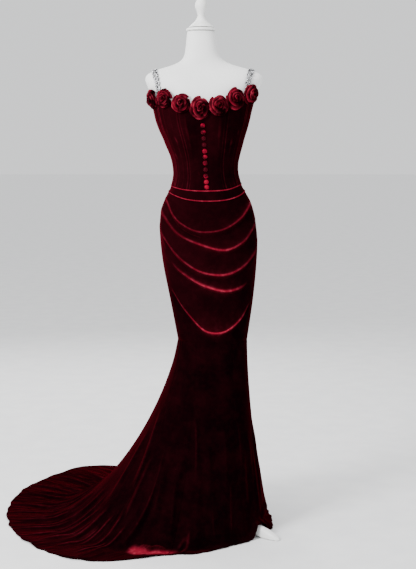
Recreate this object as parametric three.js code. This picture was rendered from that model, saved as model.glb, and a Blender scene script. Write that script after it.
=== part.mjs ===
import * as THREE from 'three';

// A floor-length mermaid gown of dark wine velvet with a swept train, worn by a
// white limbless dress form on a turned stand with three legs.
// Millimetres; floor at z = 0, front toward -Y, the viewer's left is -X.
// Directions round the body are degrees: 0 front, 90 the viewer's right, 180 back.

// Driving sizes
const VELVET = 2.0;
const BODICE_WALL = 2.5;
const EASE = 1.2;
const FORM_INSET = 0.85;
const SEAM = 0.5;
const SEAM_TURN = 0.155;
const KNEE = 632;
const TORSO_FOOT = 750;
const TORSO_TOP = 1618;
const PRINCESS_FRONT = 28;
const PRINCESS_SIDE = 62;
const PRINCESS_BACK = 118;
const DRAPE_SIDE = 104;
const GORE_ROWS = 17;
const LEG_DIRECTION = 54.5;
const LIFT_DIRECTION = 58.5;
const LEG_LIFT = 44;
const POLE_RADIUS = 14;

const velvet = new THREE.MeshStandardMaterial({ name: 'velvet', color: 0x4a0913, roughness: 0.85 });
const satin = new THREE.MeshStandardMaterial({ name: 'satin', color: 0x7c1424, roughness: 0.38 });
const metal = { name: 'silver', color: 0xd5d7dc, roughness: 0.22, metalness: 0.8 };
const silver = new THREE.MeshStandardMaterial(metal);
const cover = new THREE.MeshStandardMaterial({ name: 'cover', color: 0xe9e9e7, roughness: 0.8 });
const paint = new THREE.MeshStandardMaterial({ name: 'paint', color: 0xeeeeec, roughness: 0.4 });

const part = new THREE.Group();
part.name = 'mermaid_dress_on_dress_form';

// Value of one column of a table, on a smooth curve through its rows
function along(rows, key, at, column) {
  const last = rows.length - 1;
  if (at <= rows[0][key]) return rows[0][column];
  if (at >= rows[last][key]) return rows[last][column];
  let i = 0;
  while (rows[i + 1][key] < at) i += 1;
  const before = rows[Math.max(i - 1, 0)];
  const a = rows[i];
  const b = rows[i + 1];
  const after = rows[Math.min(i + 2, last)];
  const span = b[key] - a[key];
  const slopeA = (b[column] - before[column]) / (b[key] - before[key]);
  const slopeB = (after[column] - a[column]) / (after[key] - a[key]);
  const t = (at - a[key]) / span;
  const t2 = t * t;
  const t3 = t2 * t;
  return a[column] * (2 * t3 - 3 * t2 + 1) + slopeA * span * (t3 - 2 * t2 + t)
    + b[column] * (3 * t2 - 2 * t3) + slopeB * span * (t3 - t2);
}

// The same for a table that runs once round the body
function around(rows, at, column) {
  const turn = (row, by) => ({ ...row, at: row.at + by });
  const before = rows.slice(-2).map((row) => turn(row, -360));
  const after = rows.slice(0, 2).map((row) => turn(row, 360));
  const wrapped = [...before, ...rows, ...after];
  let angle = at;
  while (angle > 180) angle -= 360;
  while (angle < -180) angle += 360;
  return along(wrapped, 'at', angle, column);
}

const smooth = (from, to, x) => {
  const t = Math.min(Math.max((x - from) / (to - from), 0), 1);
  return t * t * (3 - 2 * t);
};
const radians = (degrees) => degrees * Math.PI / 180;
const swell = (x, middle, width) => Math.exp(-(((x - middle) / width) ** 2));

// Level sections of the body: height, middle, half width, depth in front and behind
const BODY = [
  { z: 600, mid: 14, half: 111, front: 93, back: 93 },
  { z: 640, mid: 15, half: 110, front: 91, back: 92 },
  { z: 690, mid: 15.5, half: 119, front: 93, back: 98 },
  { z: 745, mid: 13.5, half: 128, front: 97, back: 106 },
  { z: 795, mid: 10.5, half: 136, front: 101, back: 114 },
  { z: 850, mid: 7, half: 145, front: 104, back: 122 },
  { z: 900, mid: 5, half: 150.5, front: 106, back: 128 },
  { z: 950, mid: 2.5, half: 153, front: 105, back: 130 },
  { z: 1000, mid: 0, half: 151, front: 102, back: 126 },
  { z: 1040, mid: -2, half: 147, front: 98, back: 118 },
  { z: 1075, mid: -2.5, half: 137, front: 95, back: 107 },
  { z: 1105, mid: -3.5, half: 122, front: 90, back: 95 },
  { z: 1130, mid: -4.5, half: 110, front: 86, back: 86 },
  { z: 1155, mid: -6, half: 102.5, front: 83, back: 80 },
  { z: 1185, mid: -8, half: 101, front: 82, back: 77 },
  { z: 1210, mid: -9, half: 104, front: 83, back: 78 },
  { z: 1240, mid: -10.5, half: 113.5, front: 86, back: 82 },
  { z: 1280, mid: -13.5, half: 127, front: 91, back: 88 },
  { z: 1320, mid: -16.5, half: 142, front: 97, back: 94 },
  { z: 1355, mid: -17, half: 151, front: 103, back: 98 },
  { z: 1395, mid: -16.5, half: 160, front: 102, back: 101 },
  { z: 1435, mid: -14, half: 176, front: 91, back: 100 },
  { z: 1465, mid: -12.5, half: 191, front: 73, back: 90 },
  { z: 1486, mid: -13, half: 178, front: 56, back: 74 },
  { z: 1500, mid: -14, half: 137, front: 49, back: 63 },
  { z: 1515, mid: -16, half: 84, front: 46, back: 57 },
  { z: 1535, mid: -19, half: 58, front: 45, back: 53 },
  { z: 1570, mid: -20.5, half: 51, front: 44, back: 48 },
  { z: 1618, mid: -21.5, half: 47.5, front: 43, back: 45 },
];
const BUST = { height: 1296, apart: 66, width: 50, above: 62, below: 74, depth: 21 };
const SQUARENESS = 0.9;

// A point on the body, moved outward level with the floor
function bodyPoint(at, z, out = 0) {
  const mid = along(BODY, 'z', z, 'mid');
  const half = along(BODY, 'z', z, 'half');
  const front = along(BODY, 'z', z, 'front');
  const back = along(BODY, 'z', z, 'back');
  const place = (degrees) => {
    const s = Math.sin(radians(degrees));
    const c = Math.cos(radians(degrees));
    const x = half * Math.sign(s) * Math.abs(s) ** SQUARENESS;
    let y = c > 0 ? -front * c ** SQUARENESS : back * (-c) ** SQUARENESS;
    if (c > 0) {
      const level = swell(z, BUST.height, z > BUST.height ? BUST.above : BUST.below);
      const cups = swell(x, BUST.apart, BUST.width) + swell(x, -BUST.apart, BUST.width);
      y -= BUST.depth * level * Math.min(c * 2, 1) * cups;
    }
    return [mid + x, y];
  };
  const [x, y] = place(at);
  const [xa, ya] = place(at - 1.5);
  const [xb, yb] = place(at + 1.5);
  const run = Math.hypot(xb - xa, yb - ya);
  return new THREE.Vector3(x + out * (yb - ya) / run, y - out * (xb - xa) / run, z);
}

// The direction straight out of the body at a point
function bodyNormal(at, z) {
  const across = bodyPoint(at + 1.5, z).sub(bodyPoint(at - 1.5, z));
  const rise = bodyPoint(at, z + 4).sub(bodyPoint(at, z - 4));
  return across.cross(rise).normalize();
}

// Edges of the pieces as heights round the body
const NECKLINE = [
  { at: -170, z: 1338 }, { at: -140, z: 1342 }, { at: -112, z: 1362 }, { at: -92, z: 1390 },
  { at: -68, z: 1400 }, { at: -44, z: 1397 }, { at: -22, z: 1385 }, { at: -4, z: 1377 },
  { at: 14, z: 1379 }, { at: 32, z: 1396 }, { at: 54, z: 1411 }, { at: 72, z: 1411 },
  { at: 92, z: 1396 }, { at: 112, z: 1368 }, { at: 140, z: 1346 }, { at: 170, z: 1338 },
];
const WAIST = [
  { at: -150, z: 1136 }, { at: -100, z: 1134 }, { at: -60, z: 1126 }, { at: -30, z: 1119 },
  { at: 0, z: 1116.5 }, { at: 30, z: 1120 }, { at: 60, z: 1131 }, { at: 100, z: 1139 },
  { at: 150, z: 1138 },
];
const BAND_FOOT = [
  { at: -150, z: 1110 }, { at: -104, z: 1112 }, { at: -75, z: 1107 }, { at: -50, z: 1097 },
  { at: -25, z: 1085 }, { at: 0, z: 1080 }, { at: 25, z: 1084 }, { at: 50, z: 1096 },
  { at: 75, z: 1108 }, { at: 104, z: 1114 }, { at: 150, z: 1111 },
];

function addMesh(name, points, faces, material) {
  const geometry = new THREE.BufferGeometry();
  const places = points.flatMap((p) => [p.x, p.y, p.z]);
  geometry.setAttribute('position', new THREE.Float32BufferAttribute(places, 3));
  geometry.setIndex(faces);
  geometry.computeVertexNormals();
  const mesh = new THREE.Mesh(geometry, material.clone());
  mesh.name = name;
  part.add(mesh);
  return mesh;
}

// A closed wall between an outer and an inner grid; rows run down, columns to the viewer's right
function addWall(name, outer, inner, material) {
  const rows = outer.length;
  const columns = outer[0].length;
  const points = [...outer.flat(), ...inner.flat()];
  const o = (r, c) => r * columns + c;
  const i = (r, c) => rows * columns + o(r, c);
  const faces = [];
  const quad = (a, b, c, d) => faces.push(a, b, c, a, c, d);
  for (let c = 0; c < columns - 1; c += 1) {
    for (let r = 0; r < rows - 1; r += 1) {
      quad(o(r, c), o(r + 1, c), o(r + 1, c + 1), o(r, c + 1));
      quad(i(r, c), i(r, c + 1), i(r + 1, c + 1), i(r + 1, c));
    }
    quad(o(0, c), o(0, c + 1), i(0, c + 1), i(0, c));
    quad(o(rows - 1, c), i(rows - 1, c), i(rows - 1, c + 1), o(rows - 1, c + 1));
  }
  for (let r = 0; r < rows - 1; r += 1) {
    const c = columns - 1;
    quad(o(r, 0), i(r, 0), i(r + 1, 0), o(r + 1, 0));
    quad(o(r, c), o(r + 1, c), i(r + 1, c), i(r, c));
  }
  return addMesh(name, points, faces, material);
}

// A closed solid through rings listed from the tip to the foot
function addLoft(name, rings, material) {
  const count = rings[0].length;
  const sum = (ring) => ring.reduce((total, p) => total.add(p), new THREE.Vector3());
  const middle = (ring) => sum(ring).divideScalar(count);
  const points = [...rings.flat(), middle(rings[0]), middle(rings[rings.length - 1])];
  const faces = [];
  for (let c = 0; c < count; c += 1) {
    const d = (c + 1) % count;
    for (let r = 0; r < rings.length - 1; r += 1) {
      const a = r * count;
      const b = a + count;
      faces.push(a + c, b + c, b + d, a + c, b + d, a + d);
    }
    const last = (rings.length - 1) * count;
    faces.push(c, d, points.length - 2, last + d, last + c, points.length - 1);
  }
  return addMesh(name, points, faces, material);
}

// A ring of points square to an axis
function ringAt(centre, axis, up, radius, height, count, shape = () => 1) {
  const side = new THREE.Vector3().crossVectors(up, axis).normalize();
  const rise = new THREE.Vector3().crossVectors(axis, side);
  return Array.from({ length: count }, (_, k) => {
    const turn = 2 * Math.PI * k / count;
    const r = radius * shape(turn);
    const across = centre.clone().addScaledVector(side, r * Math.cos(turn));
    return across.addScaledVector(rise, r * Math.sin(turn)).addScaledVector(axis, height);
  });
}
const UP = new THREE.Vector3(0, 0, 1);
const BACKWARD = new THREE.Vector3(0, 1, 0);
const turned = (foot, profile, count) => profile.map(({ z, r }) => ringAt(foot, UP, BACKWARD, r, z, count));

// The torso of the form: level rings from the neck to the hips
const TORSO_HEIGHTS = [
  1618, 1575, 1540, 1522, 1510, 1500, 1490, 1478, 1463, 1440, 1415, 1388, 1360, 1332, 1305,
  1278, 1250, 1220, 1190, 1158, 1128, 1098, 1065, 1025, 975, 915, 855, 800, 764, 750,
];
const TORSO_COLUMNS = 40;
const FOOT_INSET = 9;
const NECK_INSET = 3;
addLoft('form_torso', TORSO_HEIGHTS.map((z) => {
  let inset = FORM_INSET;
  if (z === TORSO_FOOT) inset = FOOT_INSET;
  if (z === TORSO_TOP) inset = NECK_INSET;
  return Array.from({ length: TORSO_COLUMNS }, (_, k) => bodyPoint(360 * k / TORSO_COLUMNS, z, -inset));
}), cover);

// Neck cap and turned finial
const NECK = new THREE.Vector3(-21.5, 0, 0);
const CAP = [{ z: 1627, r: 44 }, { z: 1625.5, r: 47.5 }, { z: 1620, r: 48.5 }, { z: 1618.4, r: 46 }];
const FINIAL = [
  { z: 1725, r: 4 }, { z: 1722, r: 9 }, { z: 1714, r: 15.5 }, { z: 1705, r: 20 }, { z: 1696, r: 21.5 },
  { z: 1686, r: 18 }, { z: 1676, r: 13 }, { z: 1668, r: 11 }, { z: 1662, r: 12 }, { z: 1650, r: 17.5 },
  { z: 1643, r: 26 }, { z: 1635, r: 36 }, { z: 1629, r: 41.5 }, { z: 1627.4, r: 42 },
];
addLoft('neck_cap', turned(NECK, CAP, 24), paint);
addLoft('finial', turned(NECK, FINIAL, 16), paint);

// Pole, hub and three legs; the pole stands under the middle of the hips
const POLE = new THREE.Vector3(12, 8, 0);
const POLE_ENDS = [{ z: TORSO_FOOT - 0.4, r: POLE_RADIUS }, { z: 120.4, r: POLE_RADIUS }];
const HUB = [{ z: 120, r: 17 }, { z: 116, r: 21 }, { z: 60, r: 23 }, { z: 50, r: 19 }];
addLoft('pole', turned(POLE, POLE_ENDS, 16), paint);
addLoft('hub', turned(POLE, HUB, 16), paint);

// Sections of a leg from the hub to the toe, and the outline of each as shares of its half width and height
const LEG = [
  { r: 23.3, top: 108, foot: 62, half: 10 }, { r: 60, top: 100, foot: 56, half: 10.5 },
  { r: 100, top: 84, foot: 43, half: 11 }, { r: 140, top: 63, foot: 26, half: 12 },
  { r: 172, top: 46, foot: 10, half: 13 }, { r: 197, top: 37, foot: 0, half: 14.5 },
  { r: 220, top: 31, foot: 0, half: 16 }, { r: 242, top: 23, foot: 0, half: 15 },
  { r: 258, top: 14, foot: 0, half: 11 }, { r: 266, top: 7, foot: 0, half: 5 },
];
const LEG_OUTLINE = [
  [-0.8, 0], [0.8, 0], [1, 0.14], [1, 0.55], [0.72, 0.86],
  [0.25, 1], [-0.25, 1], [-0.72, 0.86], [-1, 0.55], [-1, 0.14],
];
for (const [k, name] of ['leg_front_right', 'leg_back', 'leg_left'].entries()) {
  const turn = radians(LEG_DIRECTION + 120 * k);
  const out = new THREE.Vector3(Math.sin(turn), -Math.cos(turn), 0);
  const side = new THREE.Vector3(-out.y, out.x, 0);
  const rings = LEG.map(({ r, top, foot, half }) => {
    const middle = POLE.clone().addScaledVector(out, r);
    return LEG_OUTLINE.map(([across, high]) => {
      const corner = middle.clone().addScaledVector(side, half * across);
      return corner.setZ(foot + (top - foot) * high);
    });
  });
  addLoft(name, rings.reverse(), paint);
}

// A piece of cloth that hugs the body between two edges and two seams
const seamSide = (c, columns) => {
  if (c === 0) return 1;
  return c === columns ? -1 : 0;
};
const hug = (name, from, to, columns, rows, top, foot, wall, material) => {
  const place = (r, c, out) => {
    const at = from + (to - from) * c / columns + seamSide(c, columns) * SEAM_TURN;
    const high = top(at);
    return bodyPoint(at, high + (foot(at) - high) * r / rows, EASE + out);
  };
  const row = (r, out) => Array.from({ length: columns + 1 }, (_, c) => place(r, c, out));
  const grid = (out) => Array.from({ length: rows + 1 }, (_, r) => row(r, out));
  return addWall(name, grid(wall), grid(0), material);
};
const neckline = (at) => around(NECKLINE, at, 'z');
const waist = (at) => around(WAIST, at, 'z') + SEAM / 2;
const bandTop = (at) => around(WAIST, at, 'z') - SEAM / 2;
const bandFoot = (at) => around(BAND_FOOT, at, 'z') + SEAM / 2;
const hipTop = (at) => around(BAND_FOOT, at, 'z') - SEAM / 2;
const kneeTop = () => KNEE + SEAM / 2;

// Bodice: centre front, side fronts, sides and backs joined by princess seams
const BODICE = [
  { name: 'bodice_centre_front', from: -PRINCESS_FRONT, to: PRINCESS_FRONT, columns: 8 },
  { name: 'bodice_side_front_left', from: -PRINCESS_SIDE, to: -PRINCESS_FRONT, columns: 5 },
  { name: 'bodice_side_front_right', from: PRINCESS_FRONT, to: PRINCESS_SIDE, columns: 5 },
  { name: 'bodice_side_left', from: -PRINCESS_BACK, to: -PRINCESS_SIDE, columns: 7 },
  { name: 'bodice_side_right', from: PRINCESS_SIDE, to: PRINCESS_BACK, columns: 7 },
  { name: 'bodice_back_left', from: -180, to: -PRINCESS_BACK, columns: 6 },
  { name: 'bodice_back_right', from: PRINCESS_BACK, to: 180, columns: 6 },
];
for (const { name, from, to, columns } of BODICE) {
  hug(name, from, to, columns, 9, neckline, waist, BODICE_WALL, velvet);
}

// Waist band: two halves between the waist seam and the first swag
hug('band_front', -DRAPE_SIDE, DRAPE_SIDE, 22, 2, bandTop, bandFoot, VELVET, velvet);
hug('band_back', DRAPE_SIDE, 360 - DRAPE_SIDE, 14, 2, bandTop, bandFoot, VELVET, velvet);

// Swags of the front drape: height of each crest at eight directions, how far it stands out, where it fades
const SWAG_AT = [-104, -60, -35, -10, 15, 40, 60, 104];
const SWAGS = [
  { crest: [1103, 1079, 1019, 985, 991, 1026, 1062, 1099], stand: 8, fade: 104 },
  { crest: [1086, 1036, 979, 946, 926, 951, 992, 1062], stand: 9, fade: 104 },
  { crest: [1050, 968, 904, 859, 848, 873, 914, 1004], stand: 9, fade: 104 },
  { crest: [968, 905, 858, 817, 796, 808, 834, 912], stand: 7, fade: 46 },
  { crest: [868, 796, 727, 669, 665, 703, 754, 826], stand: 8, fade: 56 },
];
const swagTables = SWAGS.map(({ crest }) => SWAG_AT.map((at, k) => ({ at, z: crest[k] })));

// Heights and outward offsets of the drape at one direction, from the band to the knee
function drapeStations(at) {
  const top = hipTop(at);
  const crests = swagTables.map((table) => along(table, 'at', at, 'z'));
  const stations = [{ z: top, out: 0 }];
  let above = top;
  crests.forEach((crest, k) => {
    const below = k < crests.length - 1 ? crests[k + 1] : KNEE - 10;
    const room = above - crest;
    const under = crest - below;
    const fadeOut = 1 - smooth(SWAGS[k].fade * 0.72, SWAGS[k].fade * 1.25, Math.abs(at));
    const ends = 1 - smooth(62, DRAPE_SIDE, Math.abs(at));
    const stand = Math.min(SWAGS[k].stand, 0.4 * Math.min(room, under)) * fadeOut * ends;
    stations.push({ z: crest + room * 0.62, out: 0.06 * stand });
    stations.push({ z: crest + Math.min(14, room * 0.34), out: 0.5 * stand });
    stations.push({ z: crest + Math.min(3, room * 0.12), out: stand });
    stations.push({ z: crest - Math.min(5, under * 0.15), out: 0.6 * stand });
    stations.push({ z: crest - Math.min(13, under * 0.32), out: 0.05 * stand });
    above = crest;
  });
  const last = stations[stations.length - 1].z;
  const foot = kneeTop();
  stations.push({ z: (last + foot) / 2, out: 0 });
  stations.push({ z: foot, out: 0 });
  // Toward the side seams the rows even out, so that both sides of the seam run alike
  const level = smooth(78, DRAPE_SIDE, Math.abs(at));
  stations.forEach((station, k) => {
    const even = top + (foot - top) * k / (stations.length - 1);
    station.z += (even - station.z) * level;
  });
  return stations;
}
const DRAPE_COLUMNS = 24;
const drapeGrid = (out) => {
  const columns = Array.from({ length: DRAPE_COLUMNS + 1 }, (_, c) => {
    const edge = seamSide(c, DRAPE_COLUMNS) * SEAM_TURN;
    const at = -DRAPE_SIDE + 2 * DRAPE_SIDE * c / DRAPE_COLUMNS + edge;
    return drapeStations(at).map((station) => bodyPoint(at, station.z, EASE + out + station.out));
  });
  return columns[0].map((_, r) => columns.map((column) => column[r]));
};
addWall('drape_front', drapeGrid(VELVET), drapeGrid(0), velvet);

// Smooth backs of the skirt from the band to the knee, parted at the centre back
hug('hip_back_right', DRAPE_SIDE, 180, 8, 14, hipTop, kneeTop, VELVET, velvet);
hug('hip_back_left', -180, -DRAPE_SIDE, 8, 14, hipTop, kneeTop, VELVET, velvet);

// Flare below the knee by direction: reach of the hem, where the slope meets the floor,
// how late the cloth swings out and how much it sags
const FLARE = [
  { at: -165, hem: 800, touch: 575, late: 1.26, sag: 1.6 },
  { at: -150, hem: 900, touch: 610, late: 1.26, sag: 1.62 },
  { at: -135, hem: 868, touch: 620, late: 1.26, sag: 1.62 },
  { at: -120, hem: 790, touch: 610, late: 1.26, sag: 1.62 },
  { at: -105, hem: 720, touch: 580, late: 1.26, sag: 1.62 },
  { at: -90, hem: 655, touch: 530, late: 1.27, sag: 1.6 },
  { at: -75, hem: 603, touch: 470, late: 1.28, sag: 1.55 },
  { at: -60, hem: 556, touch: 415, late: 1.25, sag: 1.5 },
  { at: -50, hem: 521, touch: 378, late: 1.3, sag: 1.45 },
  { at: -40, hem: 452, touch: 340, late: 1.35, sag: 1.35 },
  { at: -30, hem: 358, touch: 300, late: 1.45, sag: 1.25 },
  { at: -20, hem: 304, touch: 268, late: 1.55, sag: 1.15 },
  { at: -10, hem: 288, touch: 244, late: 1.6, sag: 1.1 },
  { at: 0, hem: 258, touch: 228, late: 1.65, sag: 1.05 },
  { at: 18, hem: 217, touch: 206, late: 1.65, sag: 1 },
  { at: 40, hem: 203, touch: 192, late: 1.65, sag: 1 },
  { at: 60, hem: 205, touch: 192, late: 1.65, sag: 1 },
  { at: 80, hem: 210, touch: 194, late: 1.65, sag: 1 },
  { at: 95, hem: 216, touch: 198, late: 1.65, sag: 1 },
  { at: 112, hem: 230, touch: 208, late: 1.6, sag: 1.05 },
  { at: 130, hem: 272, touch: 238, late: 1.45, sag: 1.2 },
  { at: 145, hem: 345, touch: 290, late: 1.35, sag: 1.35 },
  { at: 160, hem: 465, touch: 370, late: 1.25, sag: 1.5 },
  { at: 177, hem: 640, touch: 480, late: 1.18, sag: 1.58 },
];

// Soft flutes that run down into the train: direction, spread, height, and how far down they start
const FLUTES = [
  { at: -172, spread: 8, height: 12, start: 0.35 },
  { at: -146, spread: 7, height: 15, start: 0.3 },
  { at: -121, spread: 7, height: 12, start: 0.38 },
  { at: -98, spread: 7, height: 10, start: 0.3 },
  { at: -74, spread: 6, height: 11, start: 0.34 },
  { at: -52, spread: 5.5, height: 10, start: 0.25 },
  { at: -30, spread: 5, height: 9, start: 0.42 },
  { at: -12, spread: 5, height: 7, start: 0.36 },
  { at: 12, spread: 6, height: 6, start: 0.4 },
  { at: 34, spread: 6, height: 5, start: 0.5 },
  { at: 90, spread: 6, height: 5, start: 0.5 },
  { at: 115, spread: 6.5, height: 13, start: 0.55 },
  { at: 150, spread: 7, height: 12, start: 0.35 },
];

// The run of the cloth from knee to hem in one direction, in even steps of its length
function flareRun(at) {
  const knee = bodyPoint(at, KNEE, EASE);
  const turn = radians(at);
  const out = new THREE.Vector3(Math.sin(turn), -Math.cos(turn), 0);
  const value = (column) => around(FLARE, at, column);
  const touch = out.clone().multiplyScalar(value('touch'));
  const hem = out.clone().multiplyScalar(value('hem'));
  const late = value('late');
  const sag = value('sag');
  const offLeg = Math.abs(at - LIFT_DIRECTION);
  const lift = LEG_LIFT * (1 - smooth(6, 14, offLeg));
  const fine = [];
  const steps = 60;
  for (let k = 0; k <= steps; k += 1) {
    const t = k / steps;
    const place = new THREE.Vector3().lerpVectors(knee, touch, t ** late);
    fine.push(place.setZ((KNEE - SEAM / 2) * (1 - t) ** sag));
  }
  for (let k = 1; k <= 12; k += 1) fine.push(touch.clone().lerp(hem, k / 12));
  for (const p of fine) {
    const soft = 9 * lift / LEG_LIFT;
    p.z = 0.5 * (p.z + lift + Math.hypot(p.z - lift, soft));
    if (p.z > KNEE - SEAM / 2) p.z = KNEE - SEAM / 2;
  }
  const lengths = [0];
  for (let n = 1; n < fine.length; n += 1) {
    lengths.push(lengths[n - 1] + fine[n].distanceTo(fine[n - 1]));
  }
  const total = lengths[lengths.length - 1];
  const run = [];
  let k = 0;
  for (let r = 0; r <= GORE_ROWS; r += 1) {
    const want = total * (r / GORE_ROWS) ** 0.93;
    while (k < fine.length - 2 && lengths[k + 1] < want) k += 1;
    const share = (want - lengths[k]) / (lengths[k + 1] - lengths[k]);
    run.push(fine[k].clone().lerp(fine[k + 1], Math.min(share, 1)));
  }
  return run;
}

function flareNormals(run, left, right) {
  return run.map((p, r) => {
    const down = run[Math.min(r + 1, GORE_ROWS)].clone().sub(run[Math.max(r - 1, 0)]);
    const across = right[r].clone().sub(left[r]);
    const normal = down.cross(across).normalize();
    const level = new THREE.Vector3(normal.x, normal.y, 0).normalize();
    return level.lerp(normal, smooth(0, 2.5, r)).normalize();
  });
}

// The same run with its flutes, and the direction its wall is thick in
function flareWall(at) {
  const bare = (angle) => {
    const run = flareRun(angle);
    const normals = flareNormals(run, flareRun(angle - 2), flareRun(angle + 2));
    return run.map((p, r) => {
      const down = r / GORE_ROWS;
      let high = 0;
      for (const flute of FLUTES) {
        const away = Math.abs(((angle - flute.at + 540) % 360) - 180);
        high += flute.height * swell(away, 0, flute.spread) * smooth(flute.start, flute.start + 0.45, down);
      }
      const hemEase = 1 - 0.45 * smooth(0.85, 1, down);
      const moved = p.clone().addScaledVector(normals[r], high * hemEase);
      moved.z = Math.max(moved.z, 0);
      return moved;
    });
  };
  const run = bare(at);
  return { run, normals: flareNormals(run, bare(at - 1.5), bare(at + 1.5)) };
}

const GORES = [
  { name: 'gore_front', from: -24, to: 32, columns: 9 },
  { name: 'gore_front_right', from: 32, to: 87, columns: 11 },
  { name: 'gore_side_right', from: 87, to: 138, columns: 7 },
  { name: 'gore_back_right', from: 138, to: 180, columns: 6 },
  { name: 'gore_back_left', from: -180, to: -139, columns: 7 },
  { name: 'gore_train_left', from: -139, to: -100, columns: 7 },
  { name: 'gore_side_left', from: -100, to: -62, columns: 7 },
  { name: 'gore_front_left', from: -62, to: -24, columns: 7 },
];
for (const { name, from, to, columns } of GORES) {
  const walls = Array.from({ length: columns + 1 }, (_, c) => {
    const edge = seamSide(c, columns);
    const at = from + (to - from) * c / columns;
    const wall = flareWall(at);
    if (edge === 0) return wall;
    const beside = flareWall(at + 0.2 * edge);
    wall.run.forEach((p, r) => {
      const toward = beside.run[r].clone().sub(p).normalize();
      p.addScaledVector(toward, SEAM / 2);
    });
    return wall;
  });
  const row = (r, thick) => walls.map(({ run, normals }) => run[r].clone().addScaledVector(normals[r], thick));
  const grid = (thick) => Array.from({ length: GORE_ROWS + 1 }, (_, r) => row(r, thick));
  addWall(name, grid(VELVET), grid(0), velvet);
}

// A small solid sewn on the body: its foot follows the cloth, its rings rise from there
function addSewn(name, at, z, clear, rings, radius, height, count, shape, material) {
  const seat = bodyPoint(at, z, EASE + BODICE_WALL + clear);
  const axis = bodyNormal(at, z);
  const foot = ringAt(seat, axis, UP, radius * rings[rings.length - 1].wide, 0, count);
  const perDegree = bodyPoint(at + 1, z).distanceTo(bodyPoint(at, z));
  const side = new THREE.Vector3().crossVectors(UP, axis).normalize();
  const follow = foot.map((p) => {
    const away = p.clone().sub(seat);
    return bodyPoint(at + away.dot(side) / perDegree, z + away.z, EASE + BODICE_WALL + clear);
  });
  const lofted = rings.slice(0, -1).map(({ wide, high, wave }, k) => {
    const outline = (turn) => shape(turn, k, wave);
    return ringAt(seat, axis, UP, radius * wide, height * high, count, outline);
  });
  const mesh = addLoft(name, [...lofted, follow], material);
  const position = mesh.geometry.getAttribute('position');
  position.setXYZ(position.count - 1, seat.x, seat.y, seat.z);
  return mesh;
}

// Rolled velvet roses sewn along the neckline: place, radius, how much taller than wide, turn of the petals
const ROSES = [
  { name: 'rose_1', at: -68, z: 1402, radius: 29.5, tall: 1.02, spin: 0.2 },
  { name: 'rose_2', at: -43.5, z: 1402, radius: 28, tall: 1.02, spin: 0.9 },
  { name: 'rose_3', at: -21.5, z: 1385, radius: 30, tall: 0.98, spin: 1.7 },
  { name: 'rose_4', at: -2, z: 1371, radius: 30.5, tall: 1.12, spin: 0.5 },
  { name: 'rose_5', at: 16.6, z: 1379, radius: 30, tall: 1.06, spin: 2.1 },
  { name: 'rose_6', at: 35.0, z: 1402, radius: 29.5, tall: 1.16, spin: 1.2 },
  { name: 'rose_7', at: 56.8, z: 1418, radius: 30, tall: 1.06, spin: 2.6 },
];
const ROSE_RINGS = [
  { wide: 0.1, high: 0.6, wave: 0 }, { wide: 0.24, high: 0.8, wave: 0.1 },
  { wide: 0.4, high: 0.64, wave: 0.05 }, { wide: 0.58, high: 0.74, wave: 0.07 },
  { wide: 0.72, high: 0.48, wave: 0.04 }, { wide: 0.92, high: 0.52, wave: 0.05 },
  { wide: 1, high: 0.3, wave: 0.03 }, { wide: 0.55, high: 0, wave: 0 },
];
const PETALS = 5;
const PETAL_TWIST = 1.9;
for (const { name, at, z, radius, tall, spin } of ROSES) {
  const outline = (turn, k, wave) => {
    const petals = 1 + wave * Math.cos(PETALS * turn + spin + k * PETAL_TWIST);
    return petals * (1 + (tall - 1) * Math.sin(turn) ** 2);
  };
  addSewn(name, at, z, 0.95, ROSE_RINGS, radius, radius, 14, outline, velvet);
}

// Covered buttons down the centre front
const BUTTON = { radius: 7.8, height: 6.4 };
const BUTTON_RINGS = [
  { wide: 0.35, high: 1 }, { wide: 0.75, high: 0.78 }, { wide: 1, high: 0.36 }, { wide: 0.8, high: 0 },
];
const BUTTON_HEIGHTS = [1318, 1298.5, 1279, 1259, 1239, 1221, 1202, 1181, 1161, 1142.5, 1126];
BUTTON_HEIGHTS.forEach((z, k) => {
  addSewn(`button_${k + 1}`, 0, z, 0.75, BUTTON_RINGS, BUTTON.radius, BUTTON.height, 8, () => 1, satin);
});

// Straps from the front neckline over the shoulder to the back edge
const STRAP = { width: 17, thick: 2, steps: 22, axis: 1432, clear: 0.95 };
const STRAPS = [
  { name: 'strap_left', front: -156, top: -172, back: -118, from: -14, to: 227.9 },
  { name: 'strap_right', front: 122, top: 140, back: 92, from: -8, to: 227.4 },
];
function insideBody(x, y, z) {
  if (z > 1600) return false;
  const half = along(BODY, 'z', z, 'half');
  const depth = along(BODY, 'z', z, y < 0 ? 'front' : 'back');
  const dx = Math.abs(x - along(BODY, 'z', z, 'mid')) / half;
  const dy = Math.abs(y) / depth;
  return dx < 1 && dx ** (2 / SQUARENESS) + dy ** (2 / SQUARENESS) < 1;
}
for (const { name, front, top, back, from, to } of STRAPS) {
  const rail = (across, thick) => Array.from({ length: STRAP.steps + 1 }, (_, k) => {
    const turn = from + (to - from) * k / STRAP.steps;
    const toFront = front + (top - front) * smooth(from, 90, turn);
    const toBack = top + (back - top) * smooth(90, to, turn);
    const x = (turn < 90 ? toFront : toBack) + across;
    const dir = new THREE.Vector3(0, -Math.cos(radians(turn)), Math.sin(radians(turn)));
    let near = 0;
    let far = 160;
    for (let n = 0; n < 30; n += 1) {
      const mid = (near + far) / 2;
      if (insideBody(x, dir.y * mid, STRAP.axis + dir.z * mid)) {
        near = mid;
      } else {
        far = mid;
      }
    }
    return dir.multiplyScalar(near + STRAP.clear + thick).add(new THREE.Vector3(x, 0, STRAP.axis));
  });
  const strip = (thick) => {
    const rails = [-0.5, 0, 0.5].map((share) => rail(share * STRAP.width, thick));
    return rails[0].map((_, k) => rails.map((points) => points[k])).reverse();
  };
  addWall(name, strip(STRAP.thick), strip(0), silver);
}

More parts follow.
